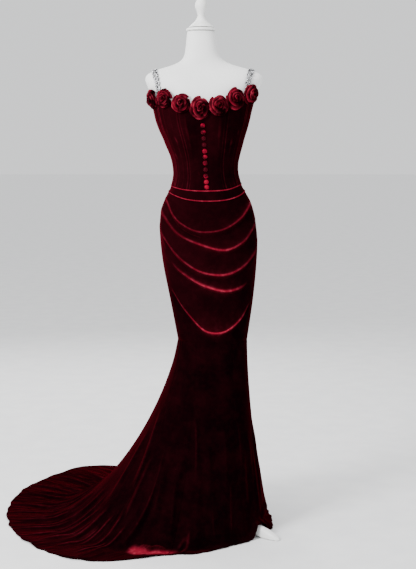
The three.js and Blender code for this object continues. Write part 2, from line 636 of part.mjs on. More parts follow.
// Put the middle of the footprint at the origin
part.updateMatrixWorld(true);
const box = new THREE.Box3().setFromObject(part);
const shift = box.getCenter(new THREE.Vector3()).negate();
shift.z = -box.min.z;
for (const mesh of part.children) mesh.geometry.translate(shift.x, shift.y, shift.z);

export default part;
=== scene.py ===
import math

import bmesh
import bpy
import numpy as np
from mathutils import Matrix, Vector


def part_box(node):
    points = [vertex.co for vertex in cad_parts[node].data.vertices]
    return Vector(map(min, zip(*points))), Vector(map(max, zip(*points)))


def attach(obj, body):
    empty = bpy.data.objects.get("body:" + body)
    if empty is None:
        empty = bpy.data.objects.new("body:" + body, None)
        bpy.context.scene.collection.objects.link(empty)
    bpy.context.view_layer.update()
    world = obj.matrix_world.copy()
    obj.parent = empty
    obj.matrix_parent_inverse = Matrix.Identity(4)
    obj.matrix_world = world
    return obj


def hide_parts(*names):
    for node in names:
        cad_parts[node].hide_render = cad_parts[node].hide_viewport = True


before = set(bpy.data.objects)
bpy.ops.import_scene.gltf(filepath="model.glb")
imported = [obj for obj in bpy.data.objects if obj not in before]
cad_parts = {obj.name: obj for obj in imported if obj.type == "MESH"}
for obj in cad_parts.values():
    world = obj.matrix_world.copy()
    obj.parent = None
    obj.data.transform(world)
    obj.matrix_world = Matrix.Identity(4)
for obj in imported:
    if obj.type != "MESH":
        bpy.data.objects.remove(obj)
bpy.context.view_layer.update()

# Camera, floor and studio light. The camera stands four metres in front of the gown at
# chest height and looks slightly down. The floor is a plain pale sheet, the light is soft.
PITCH_DOWN = math.radians(6.19)
CAMERA_BACK = 4.0
CAMERA_HEIGHT = 1.2425
CAMERA_LENS = 78.45
AXIS_LEFT_OF_POLE = 0.012
AXIS_BEFORE_POLE = 0.008
pole_low, pole_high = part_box("pole")
AXIS_X = (pole_low[0] + pole_high[0]) / 2 - AXIS_LEFT_OF_POLE
AXIS_Y = (pole_low[1] + pole_high[1]) / 2 - AXIS_BEFORE_POLE

camera = bpy.data.objects.new("camera", bpy.data.cameras.new("camera"))
bpy.context.collection.objects.link(camera)
camera.location = (AXIS_X, AXIS_Y - CAMERA_BACK, CAMERA_HEIGHT)
camera.rotation_euler = (math.radians(90) - PITCH_DOWN, 0, 0)
camera.data.lens = CAMERA_LENS
camera.data.sensor_width = 36
bpy.context.scene.camera = camera


class Value:
    """A number that changes over a surface; Python's operators join it with Math nodes."""

    def __init__(self, finish, socket):
        self.finish = finish
        self.socket = socket

    def math(self, operation, *others):
        node = self.finish.node("ShaderNodeMath", {"operation": operation}, {})
        for place, value in enumerate((self, *others)):
            self.finish.join(node.inputs[place], value)
        return Value(self.finish, node.outputs[0])

    def __add__(self, other):
        return self.math("ADD", other)

    def __mul__(self, other):
        return self.math("MULTIPLY", other)

    def between(self, low, high):
        """0 below low, 1 above high and a smooth step from one to the other."""
        kind = {"interpolation_type": "SMOOTHSTEP"}
        places = {"Value": self, "From Min": low, "From Max": high}
        node = self.finish.node("ShaderNodeMapRange", kind, places)
        return Value(self.finish, node.outputs[0])


class Finish:
    """One material: its shader, and one way of adding every other node."""

    def __init__(self, name, **constants):
        self.material = bpy.data.materials.new(name)
        self.material.use_nodes = True
        self.tree = self.material.node_tree
        self.shader = self.tree.nodes["Principled BSDF"]
        for socket, value in constants.items():
            self.shader.inputs[socket.replace("_", " ")].default_value = value

    def join(self, socket, value):
        if isinstance(value, Value):
            value = value.socket
        if isinstance(value, bpy.types.NodeSocket):
            self.tree.links.new(value, socket)
        else:
            socket.default_value = value

    def node(self, kind, settings, sockets):
        node = self.tree.nodes.new(kind)
        for key, value in settings.items():
            setattr(node, key, value)
        for key, value in sockets.items():
            self.join(node.inputs[key], value)
        return node

    def place(self):
        return self.node("ShaderNodeTexCoord", {}, {}).outputs["Object"]

    def noise(self, scale, detail=3.0, where=None):
        sockets = {"Vector": where or self.place(), "Scale": scale, "Detail": detail}
        return Value(self, self.node("ShaderNodeTexNoise", {}, sockets).outputs["Fac"])

    def rim(self):
        """1 where the surface is seen edge on, 0 where it faces the eye."""
        node = self.node("ShaderNodeLayerWeight", {}, {"Blend": 0.5})
        return Value(self, node.outputs["Facing"])

    def attribute(self, name):
        node = self.node("ShaderNodeAttribute", {"attribute_name": name}, {})
        return Value(self, node.outputs["Fac"])

    def mix(self, share, low, high):
        node = self.node("ShaderNodeMix", {"data_type": "RGBA"}, {})
        for place, value in zip((0, 6, 7), (share, low, high)):
            self.join(node.inputs[place], value)
        return node.outputs[2]

    def bump(self, height, distance, strength=1.0, under=None):
        sockets = {"Height": height, "Distance": distance, "Strength": strength}
        node = self.node("ShaderNodeBump", {}, sockets)
        if under is not None:
            self.join(node.inputs["Normal"], under)
        return node.outputs["Normal"]

    def feed(self, socket, value):
        self.join(self.shader.inputs[socket], value)


def linear(red, green, blue):
    """A screen colour from 0 to 255 as the renderer's own numbers."""
    parts = [value / 255 for value in (red, green, blue)]
    return (*((p / 12.92 if p < 0.04045 else ((p + 0.055) / 1.055) ** 2.4) for p in parts), 1)


floor_finish = Finish("floor_sheet", Roughness=0.9)
floor_mottle = floor_finish.noise(9.0, 4.0).between(0.3, 0.7)
floor_colour = floor_finish.mix(floor_mottle, linear(240, 240, 241), linear(246, 246, 246))
floor_finish.feed("Base Color", floor_colour)
FLOOR_REACH = 60
FLOOR_DROP = 0.0006
sheet = bmesh.new()
bmesh.ops.create_grid(sheet, x_segments=1, y_segments=1, size=FLOOR_REACH)
bmesh.ops.translate(sheet, verts=sheet.verts, vec=(AXIS_X, AXIS_Y, -FLOOR_DROP))
floor = bpy.data.objects.new("floor", bpy.data.meshes.new("floor"))
sheet.to_mesh(floor.data)
floor.data.materials.append(floor_finish.material)
bpy.context.collection.objects.link(floor)

LAMPS_AIM = Vector((0, 0, 0.8))
for name, place, size, watts in (
    ("key", (-2.6, -2.8, 2.9), 1.2, 230),
    ("top", (-0.5, -0.6, 3.6), 1.4, 35),
    ("fill", (2.6, -2.4, 1.6), 2.4, 12),
    ("back", (-0.9, 3.0, 2.6), 2.2, 70),
):
    lamp = bpy.data.objects.new(name, bpy.data.lights.new(name, "AREA"))
    lamp.location = Vector(place) + Vector((AXIS_X, AXIS_Y, 0))
    toward = LAMPS_AIM - Vector(place)
    lamp.rotation_euler = toward.to_track_quat("-Z", "Y").to_euler()
    lamp.data.size = size
    lamp.data.energy = watts
    bpy.context.collection.objects.link(lamp)
world = bpy.data.worlds.new("studio")
world.use_nodes = True
world.node_tree.nodes["Background"].inputs["Color"].default_value = (0.86, 0.87, 0.88, 1)
world.node_tree.nodes["Background"].inputs["Strength"].default_value = 1.25
bpy.context.scene.world = world

# Stand: a steel tube in a cast hub with three bent legs, all sprayed satin white.
# The legs are bolted into the hub and end in rounded toes that lie flat on the floor.
WELD = 2e-5
RING_SIDES = 8
SEEDS_TRIED = 40
END_ROUNDING = 0.0012


def welded(name):
    """A copy of a CAD node's surface with its triangles joined up."""
    bm = bmesh.new()
    bm.from_mesh(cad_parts[name].data)
    bmesh.ops.remove_doubles(bm, verts=bm.verts, dist=WELD)
    return bm


def slant(face):
    """How far a triangle is from a right angle opposite its longest edge."""
    a, b, c = sorted(edge.calc_length() for edge in face.edges)
    return abs(c * c - a * a - b * b) / (c * c)


def grid_places(faces, corners=None):
    """Row and column of each corner of each triangle, where every square is cut the same way.
    Where the number of corners is known, the grid is right once it fills its rectangle."""
    faces = set(faces)
    for seed in sorted(faces, key=slant)[:SEEDS_TRIED]:
        longest = max(seed.edges, key=lambda edge: edge.calc_length())
        turn = [loop.vert for loop in seed.loops]
        while turn[0] in longest.verts:
            turn = turn[1:] + turn[:1]
        places = {seed: dict(zip(turn, ((0, 0), (0, 1), (-1, 0))))}
        queue = [seed]
        while queue:
            face = queue.pop()
            known = places[face]
            for edge in face.edges:
                other = next((f for f in edge.link_faces if f in faces and f not in places), None)
                if other is None:
                    continue
                far = next(v for v in face.verts if v not in edge.verts)
                new = next(v for v in other.verts if v not in edge.verts)
                (ra, ca), (rb, cb) = (known[v] for v in edge.verts)
                square = {v: known[v] for v in edge.verts}
                square[new] = (ra + rb - known[far][0], ca + cb - known[far][1])
                places[other] = square
                queue.append(other)
        rows, columns = zip(*(place for known in places.values() for place in known.values()))
        if corners in (None, (max(rows) - min(rows) + 1) * (max(columns) - min(columns) + 1)):
            break
    return places


def square_up(bm, places):
    """Takes out the edge that cuts each square of a grid in two."""
    cuts = set()
    for face, known in places.items():
        for edge in face.edges:
            (ra, ca), (rb, cb) = (known[v] for v in edge.verts)
            if ra != rb and ca != cb:
                cuts.add(edge)
    bmesh.ops.dissolve_edges(bm, edges=list(cuts), use_verts=False)


def add_piece(name, bm, finish, slot, *nodes):
    """Makes a mesh a finished piece that rides on the part and stands for its nodes."""
    mesh = bpy.data.meshes.new(name)
    bm.to_mesh(mesh)
    bm.free()
    mesh.shade_smooth()
    mesh.materials.append(finish.material)
    piece = bpy.data.objects.new(name, mesh)
    bpy.context.collection.objects.link(piece)
    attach(piece, "root")
    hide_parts(*nodes)
    return piece


def soften(piece, levels):
    rounding = piece.modifiers.new("rounding", "SUBSURF")
    rounding.levels = levels
    rounding.render_levels = levels


def turned_piece(name, node, finish, slot, levels):
    """A smooth version of a solid that is built from rings."""
    bm = welded(node)
    centres = [v for v in bm.verts if len(v.link_edges) >= RING_SIDES]
    bmesh.ops.dissolve_verts(bm, verts=centres)
    triangles = [f for f in bm.faces if len(f.verts) == 3]
    square_up(bm, grid_places(triangles))
    ends = [f for f in bm.faces if len(f.verts) > 4]
    lines = [edge for end in ends for edge in end.edges]
    bmesh.ops.bevel(bm, geom=lines, offset=END_ROUNDING, offset_type="OFFSET", segments=1,
                    profile=0.5, affect="EDGES", material=-1)
    soften(add_piece(name, bm, finish, slot, node), levels)


paint = Finish("white_stand_paint", Roughness=0.38, Coat_Weight=0.2, Coat_Roughness=0.25)
paint_wear = paint.noise(14.0, 5.0).between(0.55, 0.8)
paint.feed("Base Color", paint.mix(paint_wear, linear(238, 238, 236), linear(226, 226, 223)))
paint.feed("Roughness", paint.noise(60.0) * 0.2 + 0.3)
paint.feed("Normal", paint.bump(paint.noise(420.0, 2.0), 0.0003, 0.35))
for node in ("pole", "hub", "leg_front_right", "leg_back", "leg_left"):
    turned_piece(f"{node}_painted", node, paint, "stand", 2)

# Dress form: a padded torso without arms or head, under a smooth stretched white cover.
# The cover is knitted, drawn down over the padding and fixed under the neck cap.
jersey = Finish("form_jersey", Roughness=0.8, Sheen_Weight=0.25, Sheen_Roughness=0.5)
jersey_rows = jersey.noise(900.0, 2.0)
jersey_soil = jersey.noise(5.0, 3.0).between(0.4, 0.8)
jersey.feed("Base Color", jersey.mix(jersey_soil, linear(240, 240, 239), linear(231, 231, 230)))
jersey.feed("Normal", jersey.bump(jersey_rows, 0.0004, 0.3))
jersey.feed("Roughness", jersey_rows * 0.15 + 0.72)
turned_piece("form_cover", "form_torso", jersey, "form_cover", 2)

# Neck cap and finial: two turned pieces of white painted wood. The flat cap closes the
# cover at the neck and the finial stands on it, with a ball over a slender waist.
wood = Finish("white_wood_paint", Roughness=0.42, Coat_Weight=0.15, Coat_Roughness=0.3)
wood_rings = wood.noise(35.0, 4.0).between(0.35, 0.75)
wood.feed("Base Color", wood.mix(wood_rings, linear(239, 239, 237), linear(228, 228, 225)))
wood.feed("Roughness", wood.noise(80.0) * 0.2 + 0.34)
wood.feed("Normal", wood.bump(wood.noise(260.0, 3.0), 0.0003, 0.35))
turned_piece("neck_cap_painted", "neck_cap", wood, "turned_wood", 2)
turned_piece("finial_painted", "finial", wood, "turned_wood", 3)

# Bodice: seven boned velvet panels joined by princess seams. The seams turn in a little,
# and the bones show through the pile as soft upright ridges.
velvet = Finish("wine_velvet", Sheen_Weight=0.12, Sheen_Roughness=0.3,
                Sheen_Tint=linear(210, 24, 48), Specular_IOR_Level=0.0)
pile = velvet.noise(1500.0, 2.0)
brushed = velvet.noise(17.0, 4.0).between(0.38, 0.72)
tracked = velvet.noise(64.0, 3.0).between(0.42, 0.7)
# painted highlight: a share for each point that mixes the velvet toward its lit colour on fold crests, swag
# lines, hem patches and rose rims
painted_highlight = velvet.attribute("painted_highlight")
# painted light: the velvet is coloured lighter where it faces the viewer's left, toward the key lamp
painted_left_light = velvet.attribute("painted_left_light")
lying = velvet.attribute("lying")
places = velvet.node("ShaderNodeUVMap", {"uv_map": "cloth"}, {}).outputs["UV"]
drawn = velvet.node("ShaderNodeMapping", {}, {"Vector": places, "Scale": (190, 9, 1)})
crinkle = velvet.noise(1.0, 3.0, drawn.outputs["Vector"])
# base colour: random brushed and tracked pile marks, lightened by painted light on left-facing surfaces
deep = velvet.mix(brushed * 0.2 + tracked * 0.1 + painted_left_light * 0.75, linear(5, 1, 2), linear(37, 4, 9))
# painted sheen: where the velvet is seen edge on, on its left-facing side, the colour is mixed toward a
# brighter red, less where the train lies on the floor
painted_rim_sheen = velvet.rim().between(0.42, 1.0) * painted_left_light
turned = velvet.mix(painted_rim_sheen * 0.65 + painted_rim_sheen * lying * -0.5, deep, linear(96, 9, 26))
# the colour of the painted highlights
lit = velvet.mix(tracked * 0.6, linear(132, 22, 42), linear(182, 54, 76))
# painted highlights on the fine crinkles of the train where it lies on the floor, stronger on left-facing
# cloth
painted_crinkle_highlight = crinkle.between(0.54, 0.80) * lying * painted_left_light * 0.45
velvet.feed("Base Color", velvet.mix(painted_highlight + painted_crinkle_highlight, turned, lit))
velvet.feed("Roughness", pile * 0.25 + 0.62)
creases = velvet.bump(crinkle * lying, 0.02, 0.7)
velvet.feed("Normal", velvet.bump(pile, 0.0008, 0.45, creases))


def smooth_step(low, high, x):
    share = np.clip((x - low) / (high - low), 0, 1)
    return share * share * (3 - 2 * share)


def folds(at, run, lines):
    """Height of the listed folds at each point. A line is: direction and run where it
    starts, the same where it ends, its bow, half width and height, in metres."""
    total = np.zeros(run.shape)
    for at_a, run_a, at_b, run_b, bow, width, height in lines:
        across = (at["degrees"] - at_a) * at["span"]
        down = run - run_a
        chord_across = (at_b - at_a) * at["span"]
        chord_down = run_b - run_a
        chord = np.hypot(chord_across, chord_down)
        share = (across * chord_across + down * chord_down) / chord ** 2
        aside = (across * chord_down - down * chord_across) / chord
        aside = aside - bow * 4 * share * (1 - share)
        ends = smooth_step(0, 0.3, share) * (1 - smooth_step(0.65, 1, share))
        total += height * ends * np.exp(-(aside / width) ** 2)
    return total


def outer_grid(node, wall):
    """The outer face of a cloth wall as a grid of squares, with its rows and columns."""
    bm = welded(node)
    across = [e for e in bm.edges if abs(e.calc_length() - wall) < WELD]
    rim = {face for edge in across for face in edge.link_faces}
    bmesh.ops.delete(bm, geom=list(rim), context="FACES_ONLY")
    bmesh.ops.delete(bm, geom=[e for e in bm.edges if not e.link_faces], context="EDGES")
    left = set(bm.faces)
    sides = []
    while left:
        side = [left.pop()]
        for face in side:
            for edge in face.edges:
                for other in edge.link_faces:
                    if other in left:
                        left.remove(other)
                        side.append(other)
        sides.append(side)

    def outward(side):
        total = 0
        for face in side:
            away = face.calc_center_median() - Vector((AXIS_X, AXIS_Y, 0))
            away.z = 0
            total += face.calc_area() * face.normal.dot(away.normalized() + Vector((0, 0, 0.5)))
        return total

    sides.sort(key=outward)
    bmesh.ops.delete(bm, geom=[f for side in sides[:-1] for f in side], context="FACES")
    places = grid_places(sides[-1], len(bm.verts))
    grid = {v: place for known in places.values() for v, place in known.items()}
    middle = sum(row for row, _ in grid.values()) / len(grid)
    fall = sum((row - middle) * v.co.z for v, (row, _) in grid.items())
    sign = 1 if fall < 0 else -1
    first_row = min(sign * row for row, _ in grid.values())
    first_column = min(sign * column for _, column in grid.values())
    square_up(bm, places)
    return bm, {v: (sign * r - first_row, sign * c - first_column) for v, (r, c) in grid.items()}


def finer(values, times):
    """Extra lines along the first axis of a grid, on smooth curves through its own."""
    first = 2 * values[:1] - values[1:2]
    last = 2 * values[-1:] - values[-2:-1]
    wide = np.concatenate([first, values, last])
    steps = np.arange(times * (len(values) - 1) + 1) / times
    start = np.minimum(steps.astype(int), len(values) - 2)
    t = (steps - start).reshape(-1, *[1] * (values.ndim - 1))
    a, b, c, d = (wide[start + k] for k in range(4))
    return b + 0.5 * t * (c - a + t * (2 * a - 5 * b + 4 * c - d + t * (3 * (b - c) + d - a)))


def facing(points):
    """Outward direction at each point of a grid of cloth."""
    down, across = np.gradient(points, axis=(0, 1))
    away = np.cross(down, across)
    return away / np.maximum(np.linalg.norm(away, axis=2, keepdims=True), 1e-12)


def arch(points, away, axis):
    """How sharply the grid arches outward along one of its axes, per metre."""
    step = np.diff(points, axis=axis)
    size = np.maximum(np.linalg.norm(step, axis=2, keepdims=True), 1e-5)
    turn = np.diff(step / size, axis=axis)
    pad = [(1, 1) if k == axis else (0, 0) for k in range(3)]
    turn = np.pad(turn, pad)
    size = np.pad(size, pad, mode="edge")
    size = (np.take(size, range(1, size.shape[axis]), axis)
            + np.take(size, range(size.shape[axis] - 1), axis)) / 2
    return -np.sum(turn * away, axis=2) / size[..., 0]


ALLOWANCE_PAST = 0.0020
ALLOWANCE_DEEP = 0.0032
OFF_FLOOR = 0.002


def turned_in(points, away):
    """The grid with a narrow seam allowance folded to the inside along each of its edges."""
    for axis in (0, 1):
        flat = points.swapaxes(0, axis)
        inward = away.swapaxes(0, axis)
        ends = []
        for edge, next_in in ((0, 1), (-1, -2)):
            past = flat[edge] - flat[next_in]
            past = past / np.maximum(np.linalg.norm(past, axis=1, keepdims=True), 1e-9)
            ends.append((flat[edge] + past * ALLOWANCE_PAST - inward[edge] * ALLOWANCE_DEEP)[None])
        points = np.concatenate([ends[0], flat, ends[1]]).swapaxes(0, axis)
        away = np.concatenate([inward[:1], inward, inward[-1:]]).swapaxes(0, axis)
    points[..., 2] = np.maximum(points[..., 2], OFF_FLOOR)
    return points


CREST_STARTS = 20
CREST_FULL = 190
PAINTED_LIGHT_LEAST = 0.16
PAINTED_LIGHT_ADDED = 0.5


def fine_cloth(node, wall, turns, cells, shape):
    """A cloth panel on the outer face of its solid: made fine, folded and given
    its thickness. turns is where it starts and ends round the gown, cells how many squares
    go into one of the solid's, down and across, and shape takes the cloth's own places and
    gives heights to add."""
    name = f"{node}_velvet"
    bm, grid = outer_grid(node, wall)
    rows, columns = (max(place[k] for place in grid.values()) for k in (0, 1))
    points = np.zeros((rows + 1, columns + 1, 3))
    for vertex, place in grid.items():
        points[place] = vertex.co
    bm.free()
    points = finer(points, cells[0])
    points = finer(points.swapaxes(0, 1), cells[1]).swapaxes(0, 1)
    high, wide = points.shape[:2]
    run = np.zeros((high, wide))
    run[1:] = np.cumsum(np.linalg.norm(np.diff(points, axis=0), axis=2), axis=0)
    down = np.repeat(np.linspace(0, 1, high)[:, None], wide, 1)
    across = np.repeat(np.linspace(0, 1, wide)[None], high, 0)
    radius = np.hypot(points[..., 0] - AXIS_X, points[..., 1] - AXIS_Y)
    at = {"degrees": turns[0] + (turns[1] - turns[0]) * across, "span": radius * math.pi / 180,
          "across": across, "down": down, "rows": rows, "points": points}
    heights = shape(at, run)
    points = at.get("eased", points)
    points = points + facing(points) * heights[..., None]
    if "creep" in at:
        fall = np.gradient(points, axis=0)
        fall /= np.linalg.norm(fall, axis=2, keepdims=True)
        points = points + fall * at["creep"][..., None]
    points[..., 2] = np.maximum(points[..., 2], wall)
    away = facing(points)
    bend = arch(points, away, 0) + arch(points, away, 1)
    # painted highlight on the crests that arch most, scaled by shine, and never below the listed glow
    crest = smooth_step(CREST_STARTS, at.get("sharp", CREST_FULL), bend) * at.get("shine", 1.0)
    crest = np.maximum(crest, at.get("glow", 0.0))
    lying = at.get("lying", np.zeros((high, wide)))
    # painted light: cloth facing the viewer's left gets a lighter colour, scaled by the piece's lit share
    to_left = smooth_step(-0.5, 0.9, -away[..., 0])
    painted_left_light = (PAINTED_LIGHT_LEAST + PAINTED_LIGHT_ADDED * to_left) * at.get("lit", 1.0)
    points = turned_in(points, away)
    edged = (at["degrees"], run, painted_left_light, lying)
    degrees, run, painted_left_light, lying = (np.pad(values, 1, mode="edge") for values in edged)
    crest = np.pad(crest, 1)
    high, wide = high + 2, wide + 2

    number = np.arange(high * wide).reshape(high, wide)
    squares = np.stack([number[:-1, :-1], number[1:, :-1], number[1:, 1:], number[:-1, 1:]], 2)
    squares = squares.reshape(-1, 4)
    mesh = bpy.data.meshes.new(name)
    mesh.from_pydata(points.reshape(-1, 3), [], squares)
    weave = np.stack([degrees / 360, run], 2).reshape(-1, 2)[squares.reshape(-1)]
    mesh.uv_layers.new(name="cloth").uv.foreach_set("vector", weave.reshape(-1))
    for label, values in (("painted_highlight", crest), ("painted_left_light", painted_left_light), ("lying", lying)):
        mesh.attributes.new(label, "FLOAT", "POINT").data.foreach_set("value", values.reshape(-1))
    mesh.shade_smooth()
    mesh.materials.append(velvet.material)
    piece = bpy.data.objects.new(name, mesh)
    bpy.context.collection.objects.link(piece)
    thick = piece.modifiers.new("thickness", "SOLIDIFY")
    thick.thickness = wall
    thick.offset = -1
    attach(piece, "root")
    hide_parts(node)


def seam_dip(at, width, depth):
    """How far the cloth turns in at its side seams."""
    panel = np.ptp(at["degrees"]) * at["span"]
    side = np.minimum(at["across"], 1 - at["across"]) * panel
    return -depth * np.exp(-(side / width) ** 2)


BODICE_WALL = 0.0025
BONE_RISE = 0.0005
BONE_WIDTH = 0.0065
BODICE = {
    "bodice_centre_front": ((-28, 28), (-19, -9.5, 9.5, 19)),
    "bodice_side_front_left": ((-62, -28), (-52, -40)),
    "bodice_side_front_right": ((28, 62), (40, 51)),
    "bodice_side_left": ((-118, -62), (-106, -90, -75)),
    "bodice_side_right": ((62, 118), (74, 91, 106)),
    "bodice_back_left": ((-180, -118), (-172, -155, -136)),
    "bodice_back_right": ((118, 180), (136, 154, 172)),
}
BODICE_PULLS = (
    (-56, 0.09, -34, 0.15, 0.006, 0.010, 0.0012), (-60, 0.16, -42, 0.20, -0.004, 0.008, 0.0010),
    (58, 0.10, 36, 0.16, -0.006, 0.010, 0.0012), (84, 0.17, 62, 0.21, 0.004, 0.009, 0.0011),
    (-20, 0.215, 12, 0.225, 0.004, 0.008, 0.0009), (-112, 0.10, -84, 0.16, 0.006, 0.011, 0.0012),
    (128, 0.12, 158, 0.165, -0.005, 0.010, 0.0013), (-168, 0.14, -132, 0.175, 0.006, 0.012, 0.0012),
)
for node, (turns, bones) in BODICE.items():
    def boned(at, run):
        height = seam_dip(at, 0.003, 0.0006) + 0.7 * folds(at, run, BODICE_PULLS)
        for bone in bones:
            aside = (at["degrees"] - bone) * at["span"]
            height += BONE_RISE * np.exp(-(aside / BONE_WIDTH) ** 2)
        at["sharp"] = 110
        at["shine"] = 0.3
        return height

    fine_cloth(node, BODICE_WALL, turns, (6, 10), boned)

# Waist band: a shaped yoke of velvet under the bodice, in a front and a back half. Its
# top and foot edges are turned in over a fine cord, with a painted highlight along the cord.
VELVET_WALL = 0.002
SIDE_SEAM = 104
CORD_RISE = 0.0022
CORD_WIDTH = 0.09


def corded(at, run):
    at["shine"] = 0.5 + 0.25 * np.cos(np.radians(at["degrees"] - 10))
    height = np.zeros(run.shape)
    for down in (0.05, 0.96):
        height += CORD_RISE * np.exp(-((at["down"] - down) / CORD_WIDTH) ** 2)
    return height


for node, turns in (("band_front", (-SIDE_SEAM, SIDE_SEAM)), ("band_back", (SIDE_SEAM, 256))):
    fine_cloth(node, VELVET_WALL, turns, (12, 4), corded)

# Front drape: one wide piece of velvet from side seam to side seam, caught up at the
# sides so that it hangs across the hips in five uneven swags with rolled crests.
SWAG_RISE = 0.0028
SWAG_WIDTH = 0.36
ROWS_TO_A_SWAG = 5
FIRST_SWAG_ROW = 3
SWAG_FADES = (104, 104, 104, 42, 48)
DRAPE_PULLS = (
    (-88, 0.05, -40, 0.135, 0.012, 0.009, 0.0022), (-96, 0.10, -52, 0.21, 0.015, 0.011, 0.0026),
    (86, 0.06, 44, 0.14, -0.012, 0.009, 0.0020), (94, 0.12, 50, 0.23, -0.016, 0.012, 0.0026),
    (-70, 0.20, -30, 0.29, 0.01, 0.010, 0.0022), (70, 0.22, 30, 0.30, -0.010, 0.011, 0.0022),
    (-92, 0.27, -58, 0.38, 0.008, 0.012, 0.0024), (92, 0.29, 60, 0.40, -0.008, 0.012, 0.0024),
    (-40, 0.34, 4, 0.375, 0.008, 0.014, 0.0018), (-70, 0.44, -30, 0.475, 0.004, 0.010, 0.0018),
    (68, 0.435, 34, 0.47, -0.004, 0.011, 0.0020), (10, 0.31, 44, 0.335, -0.006, 0.010, 0.0016),
)
# Painted highlights along the swag crests, one line for each swag: centre, width, dim and bright share.
SWAG_SHINE = ((62, 34, 0.22, 0.44), (10, 26, 0.16, 0.62), (10, 28, 0.15, 0.60),
              (6, 32, 0.06, 0.78), (6, 34, 0.06, 0.86))


def swagged(at, run):
    height = folds(at, run, DRAPE_PULLS)
    # painted highlight along each swag line, from the table above
    glow = np.zeros(run.shape)
    aside = np.abs(at["degrees"])
    for k, (fade, shine) in enumerate(zip(SWAG_FADES, SWAG_SHINE)):
        centre, width, dim, bright = shine
        row = at["down"] * at["rows"] - (ROWS_TO_A_SWAG * k + FIRST_SWAG_ROW)
        stay = 1 - smooth_step(fade * 0.8, fade * 1.3, aside)
        height += SWAG_RISE * stay * np.exp(-(row / SWAG_WIDTH) ** 2)
        stay *= 1 - smooth_step(74, 88, aside)
        light = dim + (bright - dim) * np.exp(-((at["degrees"] - centre) / width) ** 2)
        glow += stay * light * np.exp(-(row / (0.26 + 0.04 * k)) ** 2)
        glow += 0.1 * stay * light * np.exp(-((row - 0.2) / 1.2) ** 2)
    at["glow"] = glow
    # the painted light on the drape weakens toward its foot
    at["lit"] = 1 - 0.72 * smooth_step(0.58, 0.97, at["down"])
    at["sharp"] = 320
    at["shine"] = 0.16
    points = at["points"]
    reach = len(points) // 6
    kernel = np.hanning(2 * reach + 1)
    wide = np.concatenate([2 * points[:1] - points[reach:0:-1], points,
                           2 * points[-1:] - points[-2:-reach - 2:-1]])
    even = np.apply_along_axis(np.convolve, 0, wide, kernel / kernel.sum(), mode="valid")
    calm = smooth_step(58, 82, aside) * (1 - smooth_step(101, SIDE_SEAM, aside))
    at["eased"] = points + (even - points) * calm[..., None]
    return height * (1 - 0.8 * calm)


fine_cloth("drape_front", VELVET_WALL, (-SIDE_SEAM, SIDE_SEAM), (5, 4),
           swagged)

# Hip backs: two smooth velvet panels from the band to the knee, joined to the drape at the
# side seams and to each other at the centre back over a concealed zip.
HIP_PULLS = (
    (98, 0.02, 158, 0.055, 0.008, 0.013, 0.0020), (98, 0.11, 168, 0.16, 0.014, 0.015, 0.0026),
    (98, 0.19, 150, 0.215, 0.012, 0.012, 0.0020), (98, 0.27, 172, 0.32, 0.012, 0.016, 0.0028),
    (98, 0.35, 146, 0.365, 0.008, 0.012, 0.0020), (98, 0.42, 166, 0.452, 0.008, 0.013, 0.0024),
    (-98, 0.04, -164, 0.085, -0.010, 0.014, 0.0022), (-98, 0.13, -146, 0.16, -0.010, 0.012, 0.0020),
    (-98, 0.20, -172, 0.255, -0.014, 0.016, 0.0028), (-98, 0.30, -152, 0.325, -0.010, 0.013, 0.0020),
    (-98, 0.37, -168, 0.41, -0.010, 0.014, 0.0026), (-98, 0.45, -140, 0.462, -0.004, 0.011, 0.0018),
)


def smoothed_back(at, run):
    at["lit"] = 0.9 - 0.6 * smooth_step(0.5, 0.97, at["down"])
    at["sharp"] = 90
    at["shine"] = 0.26
    return seam_dip(at, 0.004, 0.0010) + 1.2 * folds(at, run, HIP_PULLS)


for node, turns in (("hip_back_right", (SIDE_SEAM, 180)), ("hip_back_left", (-180, -SIDE_SEAM))):
    fine_cloth(node, VELVET_WALL, turns, (5, 8), smoothed_back)

